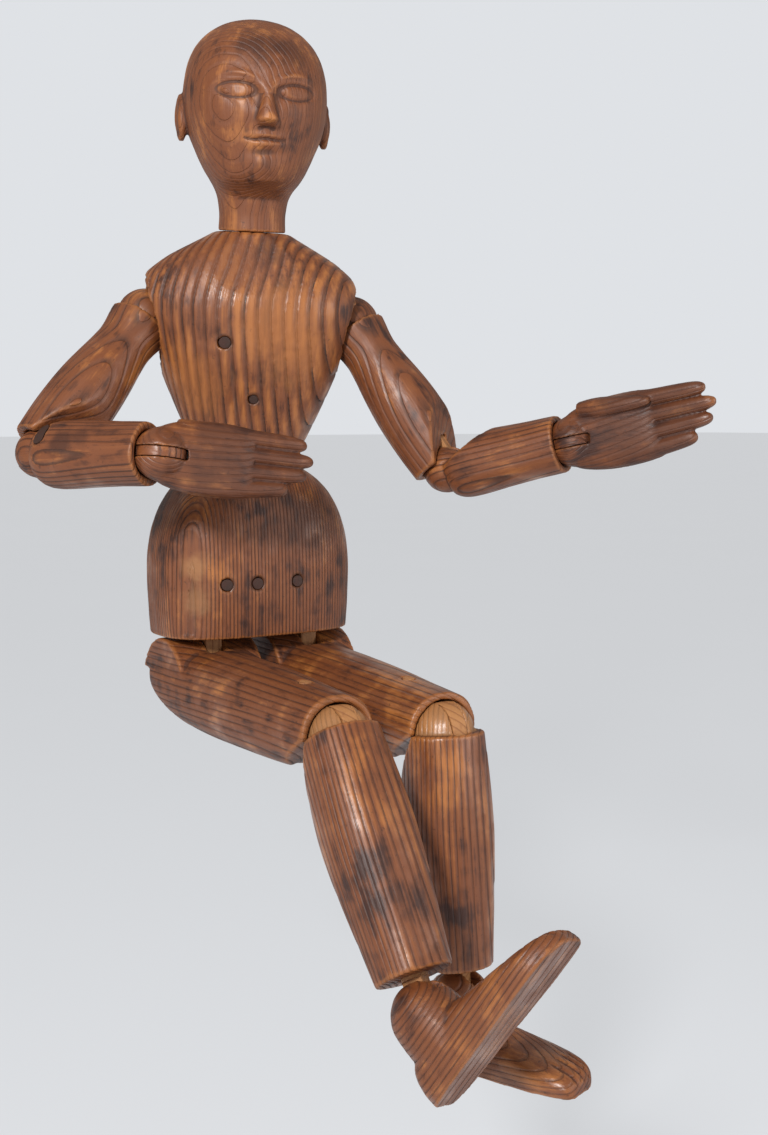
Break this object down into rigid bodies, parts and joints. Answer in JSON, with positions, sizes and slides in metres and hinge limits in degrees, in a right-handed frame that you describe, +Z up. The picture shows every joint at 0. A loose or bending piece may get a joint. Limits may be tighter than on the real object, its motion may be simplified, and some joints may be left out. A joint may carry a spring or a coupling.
{
  "type": "articulated wooden lay figure",
  "caption": "Carved and stained pine artist's mannequin with pegged tongue, ball and dowel joints, posed sitting with hanging legs, one arm across the waist and the other held out.",
  "frame": {"origin": "on the seat plane under the thighs, midway between the hips and below the middle of the pelvis", "axes": "+Z up along the body; the figure faces -Y; its left side is +X"},
  "size_m": [0.296, 0.3218, 0.5314],
  "materials": {
    "stained_wood": "worn brown stain, half gloss",
    "bare_wood": "unstained, matt",
    "dark_wood": "dark peg wood, matt"
  },
  "bodies": {
    "pelvis": {"pelvis_block": "stained_wood", "waist_peg_right": "dark_wood", "waist_peg_left": "dark_wood", "right_hip_peg": "dark_wood", "left_hip_peg": "dark_wood", "right_hip_tongue": "bare_wood", "left_hip_tongue": "bare_wood"},
    "waist_stem": {"waist_stem": "bare_wood"},
    "waist_link": {"waist_link": "bare_wood", "waist_bend_pin": "dark_wood"},
    "chest": {"chest_block": "stained_wood", "right_shoulder_peg": "dark_wood", "left_shoulder_peg": "dark_wood", "neck_peg": "dark_wood", "waist_lean_pin": "dark_wood"},
    "head": {"head": "stained_wood", "neck_dowel": "bare_wood"},
    "right_shoulder": {"right_shoulder_ball": "stained_wood", "right_shoulder_pin": "dark_wood"},
    "right_arm_stem": {"right_arm_stem": "bare_wood"},
    "right_upper_arm": {"right_upper_arm": "stained_wood", "right_elbow_tongue": "bare_wood"},
    "right_forearm": {"right_forearm": "stained_wood", "right_elbow_pin": "dark_wood", "right_elbow_plug": "dark_wood"},
    "right_wrist": {"right_wrist_tongue": "stained_wood"},
    "right_hand": {"right_hand": "stained_wood", "right_wrist_pin": "dark_wood"},
    "left_shoulder": {"left_shoulder_ball": "stained_wood", "left_shoulder_pin": "dark_wood"},
    "left_arm_stem": {"left_arm_stem": "bare_wood"},
    "left_upper_arm": {"left_upper_arm": "stained_wood", "left_elbow_tongue": "bare_wood"},
    "left_forearm": {"left_forearm": "stained_wood", "left_elbow_pin": "dark_wood", "left_elbow_plug": "dark_wood"},
    "left_wrist": {"left_wrist_tongue": "stained_wood"},
    "left_hand": {"left_hand": "stained_wood", "left_wrist_pin": "dark_wood"},
    "right_thigh": {"right_thigh": "stained_wood", "right_hip_pin": "dark_wood", "right_knee_tongue": "bare_wood", "right_knee_peg": "bare_wood"},
    "right_lower_leg": {"right_lower_leg": "stained_wood", "right_knee_pin": "dark_wood"},
    "right_ankle": {"right_ankle_tongue": "bare_wood"},
    "right_foot": {"right_foot": "stained_wood", "right_ankle_pin": "dark_wood"},
    "left_thigh": {"left_thigh": "stained_wood", "left_hip_pin": "dark_wood", "left_knee_tongue": "bare_wood", "left_knee_peg": "bare_wood"},
    "left_lower_leg": {"left_lower_leg": "stained_wood", "left_knee_pin": "dark_wood"},
    "left_ankle": {"left_ankle_tongue": "bare_wood"},
    "left_foot": {"left_foot": "stained_wood", "left_ankle_pin": "dark_wood"}
  },
  "joints": [
    {"name": "waist_turn", "type": "hinge", "parent": "pelvis", "child": "waist_stem", "pos_m": [0, 0, 0.1485], "axis": [0, 0, 1], "range_deg": [-15, 50]},
    {"name": "waist_bend", "type": "hinge", "parent": "waist_stem", "child": "waist_link", "pos_m": [0, 0, 0.1595], "axis": [0.9367, -0.3502, 0], "range_deg": [-16, 6]},
    {"name": "waist_lean", "type": "hinge", "parent": "waist_link", "child": "chest", "pos_m": [-0.00136, -0.00365, 0.18723], "axis": [0.3468, 0.9276, 0.1392], "range_deg": [-8, 6]},
    {"name": "neck_turn", "type": "hinge", "parent": "chest", "child": "head", "pos_m": [-0.00393, -0.01577, 0.27435], "axis": [-0.0291, -0.1377, 0.9901], "range_deg": [-70, 70]},
    {"name": "right_shoulder_swing", "type": "hinge", "parent": "chest", "child": "right_shoulder", "pos_m": [-0.05643, 0.01082, 0.22802], "axis": [0.9375, -0.3474, -0.0207], "range_deg": [-32, 20]},
    {"name": "right_shoulder_lift", "type": "hinge", "parent": "right_shoulder", "child": "right_arm_stem", "pos_m": [-0.05643, 0.01082, 0.22802], "axis": [0.3008, 0.8388, -0.4539], "range_deg": [-3.5, 48]},
    {"name": "right_arm_twist", "type": "hinge", "parent": "right_arm_stem", "child": "right_upper_arm", "pos_m": [-0.05643, 0.01082, 0.22802], "axis": [0.6574, 0.1624, 0.7358], "range_deg": [-90, 5]},
    {"name": "right_elbow_bend", "type": "hinge", "parent": "right_upper_arm", "child": "right_forearm", "pos_m": [-0.12218, -0.00542, 0.15444], "axis": [0.6357, 0.4048, -0.6573], "range_deg": [-13, 102]},
    {"name": "right_wrist_turn", "type": "hinge", "parent": "right_forearm", "child": "right_wrist", "pos_m": [-0.08152, -0.06844, 0.15495], "axis": [-0.5421, 0.8403, -0.0068], "range_deg": [-60, 60]},
    {"name": "right_wrist_bend", "type": "hinge", "parent": "right_wrist", "child": "right_hand", "pos_m": [-0.08152, -0.06844, 0.15495], "axis": [-0.1437, -0.1007, -0.9845], "range_deg": [-10, 90]},
    {"name": "left_shoulder_swing", "type": "hinge", "parent": "chest", "child": "left_shoulder", "pos_m": [0.05138, -0.02913, 0.22564], "axis": [0.9375, -0.3474, -0.0207], "range_deg": [-38, 60]},
    {"name": "left_shoulder_lift", "type": "hinge", "parent": "left_shoulder", "child": "left_arm_stem", "pos_m": [0.05138, -0.02913, 0.22564], "axis": [0.3136, 0.8691, -0.3826], "range_deg": [-50, 3]},
    {"name": "left_arm_twist", "type": "hinge", "parent": "left_arm_stem", "child": "left_upper_arm", "pos_m": [0.05138, -0.02913, 0.22564], "axis": [-0.338, 0.4787, 0.8103], "range_deg": [-90, 40]},
    {"name": "left_elbow_bend", "type": "hinge", "parent": "left_upper_arm", "child": "left_forearm", "pos_m": [0.08518, -0.077, 0.14461], "axis": [0.842, 0.5385, 0.0331], "range_deg": [-49, 66]},
    {"name": "left_wrist_turn", "type": "hinge", "parent": "left_forearm", "child": "left_wrist", "pos_m": [0.12421, -0.13901, 0.16061], "axis": [-0.5204, 0.8268, -0.2134], "range_deg": [-75, 75]},
    {"name": "left_wrist_bend", "type": "hinge", "parent": "left_wrist", "child": "left_hand", "pos_m": [0.12421, -0.13901, 0.16061], "axis": [0.1423, -0.1625, -0.9764], "range_deg": [-50, 50]},
    {"name": "right_hip_bend", "type": "hinge", "parent": "pelvis", "child": "right_thigh", "pos_m": [-0.03, -0.002, 0.0225], "axis": [1, 0, 0], "range_deg": [-6, 92]},
    {"name": "right_knee_bend", "type": "hinge", "parent": "right_thigh", "child": "right_lower_leg", "pos_m": [-0.03, -0.156, 0.0225], "axis": [1, 0, 0], "range_deg": [-54, 36]},
    {"name": "right_ankle_turn", "type": "hinge", "parent": "right_lower_leg", "child": "right_ankle", "pos_m": [-0.03, -0.23286, -0.08727], "axis": [0, 0.5736, 0.8192], "range_deg": [-60, 15]},
    {"name": "right_ankle_bend", "type": "hinge", "parent": "right_ankle", "child": "right_foot", "pos_m": [-0.03, -0.23286, -0.08727], "axis": [0.8339, 0.4521, -0.3166], "range_deg": [-8, 60]},
    {"name": "left_hip_bend", "type": "hinge", "parent": "pelvis", "child": "left_thigh", "pos_m": [0.03, -0.002, 0.0225], "axis": [1, 0, 0], "range_deg": [-6, 90]},
    {"name": "left_knee_bend", "type": "hinge", "parent": "left_thigh", "child": "left_lower_leg", "pos_m": [0.03, -0.15592, 0.01766], "axis": [1, 0, 0], "range_deg": [-36, 24]},
    {"name": "left_ankle_turn", "type": "hinge", "parent": "left_lower_leg", "child": "left_ankle", "pos_m": [0.03, -0.17109, -0.11548], "axis": [0, 0.1132, 0.9936], "range_deg": [-55, 25]},
    {"name": "left_ankle_bend", "type": "hinge", "parent": "left_ankle", "child": "left_foot", "pos_m": [0.03, -0.17109, -0.11548], "axis": [0.9171, 0.3962, -0.0451], "range_deg": [-38, 28]}
  ]
}
